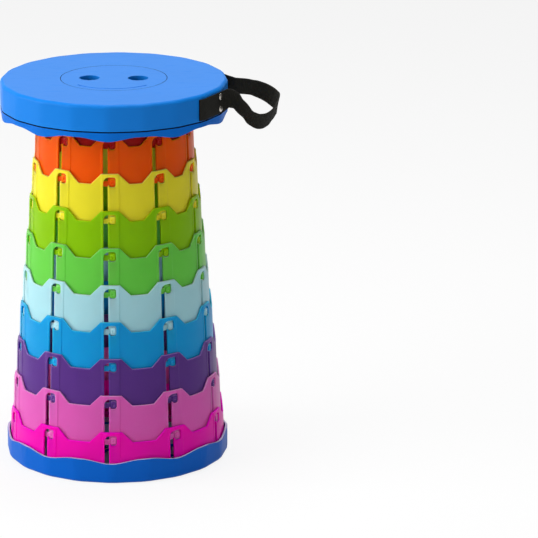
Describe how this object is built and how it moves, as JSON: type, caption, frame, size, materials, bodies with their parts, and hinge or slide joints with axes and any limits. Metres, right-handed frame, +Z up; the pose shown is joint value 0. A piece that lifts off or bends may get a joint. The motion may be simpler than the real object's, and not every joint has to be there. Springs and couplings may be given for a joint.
{
  "type": "collapsible telescopic stool",
  "caption": "Round folding stool whose nested coloured rings telescope between a flat seat and a base cup and lock by lugs in J-shaped slots.",
  "frame": {"origin": "on the floor, on the axis of the stool, under the middle of the base", "axes": "+Z up along the stool's axis; front towards -Y, where a column of lug slots and a corner of the seat stand; +X through the middle of the strap"},
  "size_m": [0.3135, 0.2546, 0.4372],
  "materials": {
    "plastic_red": "semi-gloss moulded polypropylene",
    "plastic_orange": "semi-gloss moulded polypropylene",
    "plastic_yellow": "semi-gloss moulded polypropylene",
    "plastic_lime": "semi-gloss moulded polypropylene",
    "plastic_green": "semi-gloss moulded polypropylene",
    "plastic_cyan": "semi-gloss moulded polypropylene",
    "plastic_light_blue": "semi-gloss moulded polypropylene",
    "plastic_purple": "semi-gloss moulded polypropylene",
    "plastic_pink": "semi-gloss moulded polypropylene",
    "plastic_magenta": "semi-gloss moulded polypropylene",
    "plastic_blue": "semi-gloss moulded polypropylene",
    "webbing": "woven polypropylene webbing",
    "rivet_metal": "nickel-plated hollow rivet",
    "screw_steel": "zinc-plated steel",
    "foot_rubber": "matt rubber"
  },
  "bodies": {
    "base": {"ring_magenta": "plastic_magenta", "base_cup": "plastic_blue", "base_screws": "screw_steel", "base_feet": "foot_rubber"},
    "stage_pink": {"ring_pink": "plastic_pink"},
    "stage_purple": {"ring_purple": "plastic_purple"},
    "stage_blue": {"ring_blue": "plastic_light_blue"},
    "stage_cyan": {"ring_cyan": "plastic_cyan"},
    "stage_green": {"ring_green": "plastic_green"},
    "stage_lime": {"ring_lime": "plastic_lime"},
    "stage_yellow": {"ring_yellow": "plastic_yellow"},
    "stage_orange": {"ring_orange": "plastic_orange"},
    "seat": {"ring_red": "plastic_red", "seat_top": "plastic_blue", "seat_skirt": "plastic_blue", "centre_disc": "plastic_blue", "seat_screws": "screw_steel", "strap": "webbing", "rivets_front": "rivet_metal", "rivets_back": "rivet_metal"}
  },
  "joints": [
    {"name": "slide_pink", "type": "slide", "parent": "base", "child": "stage_pink", "axis": [0, 0, 1], "range_m": [-0.0391, 0]},
    {"name": "slide_purple", "type": "slide", "parent": "stage_pink", "child": "stage_purple", "axis": [0, 0, 1], "range_m": [-0.0416, 0]},
    {"name": "slide_blue", "type": "slide", "parent": "stage_purple", "child": "stage_blue", "axis": [0, 0, 1], "range_m": [-0.0416, 0]},
    {"name": "slide_cyan", "type": "slide", "parent": "stage_blue", "child": "stage_cyan", "axis": [0, 0, 1], "range_m": [-0.0416, 0]},
    {"name": "slide_green", "type": "slide", "parent": "stage_cyan", "child": "stage_green", "axis": [0, 0, 1], "range_m": [-0.0416, 0]},
    {"name": "slide_lime", "type": "slide", "parent": "stage_green", "child": "stage_lime", "axis": [0, 0, 1], "range_m": [-0.0416, 0]},
    {"name": "slide_yellow", "type": "slide", "parent": "stage_lime", "child": "stage_yellow", "axis": [0, 0, 1], "range_m": [-0.0416, 0]},
    {"name": "slide_orange", "type": "slide", "parent": "stage_yellow", "child": "stage_orange", "axis": [0, 0, 1], "range_m": [-0.0416, 0]},
    {"name": "slide_seat", "type": "slide", "parent": "stage_orange", "child": "seat", "axis": [0, 0, 1], "range_m": [-0.0416, 0]}
  ]
}
